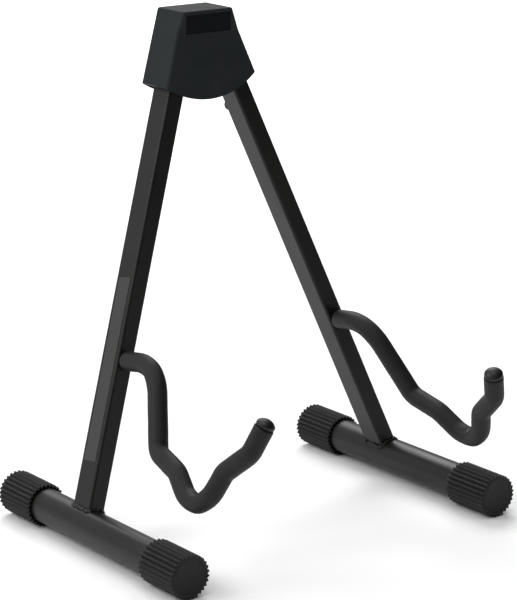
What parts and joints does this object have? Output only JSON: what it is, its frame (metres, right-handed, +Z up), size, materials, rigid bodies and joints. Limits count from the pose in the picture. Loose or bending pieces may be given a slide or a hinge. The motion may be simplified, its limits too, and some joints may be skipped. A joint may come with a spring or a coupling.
{
  "type": "folding guitar stand",
  "caption": "Folding A-frame floor stand for a guitar: hinged head, leaning legs, round foot tubes with ribbed rubber caps and bent foam-padded cradle arms.",
  "frame": {"origin": "centre of the footprint on the floor, under the middle of the whole stand with its legs open", "axes": "+Z up; -Y is the front, where the cradle arms point; X runs from the left leg (-X) to the right leg (+X) as seen from the front"},
  "size_m": [0.3828, 0.3232, 0.454],
  "materials": {
    "head_plastic": "satin moulded black ABS",
    "badge_plate": "fine matt blank plate",
    "zinc_steel": "zinc plated",
    "nylon": "natural nylon",
    "coated_steel": "semi-gloss black powder coat",
    "black_plastic": "moulded black plastic",
    "foam": "matt closed-cell foam",
    "tip_plastic": "glossy black vinyl",
    "cap_rubber": "matt ribbed rubber",
    "label_film": "matt printed film, left blank"
  },
  "bodies": {
    "head": {"head_shell": "head_plastic", "head_badge_plate": "badge_plate", "left_pivot_bolt": "zinc_steel", "left_pivot_nut": "zinc_steel", "left_front_washer": "nylon", "left_rear_washer": "nylon", "right_pivot_bolt": "zinc_steel", "right_pivot_nut": "zinc_steel", "right_front_washer": "nylon", "right_rear_washer": "nylon"},
    "left_frame": {"left_leg_tube": "coated_steel", "left_leg_bush": "zinc_steel", "left_leg_plug": "black_plastic", "left_foot_tube": "coated_steel", "left_foot_weld": "coated_steel", "left_arm_rod": "coated_steel", "left_arm_weld": "coated_steel", "left_arm_sleeve": "foam", "left_arm_tip": "tip_plastic", "left_front_cap": "cap_rubber", "left_rear_cap": "cap_rubber", "left_leg_label": "label_film"},
    "right_frame": {"right_leg_tube": "coated_steel", "right_leg_bush": "zinc_steel", "right_leg_plug": "black_plastic", "right_foot_tube": "coated_steel", "right_foot_weld": "coated_steel", "right_arm_rod": "coated_steel", "right_arm_weld": "coated_steel", "right_arm_sleeve": "foam", "right_arm_tip": "tip_plastic", "right_front_cap": "cap_rubber", "right_rear_cap": "cap_rubber", "right_leg_button": "black_plastic"}
  },
  "joints": [
    {"name": "left_leg_fold", "type": "hinge", "parent": "head", "child": "left_frame", "pos_m": [-0.0156, 0.11982, 0.435], "axis": [0, -1, 0], "range_deg": [0, 19.8]},
    {"name": "right_leg_fold", "type": "hinge", "parent": "head", "child": "right_frame", "pos_m": [0.0156, 0.11982, 0.435], "axis": [0, 1, 0], "range_deg": [0, 19.8]}
  ]
}
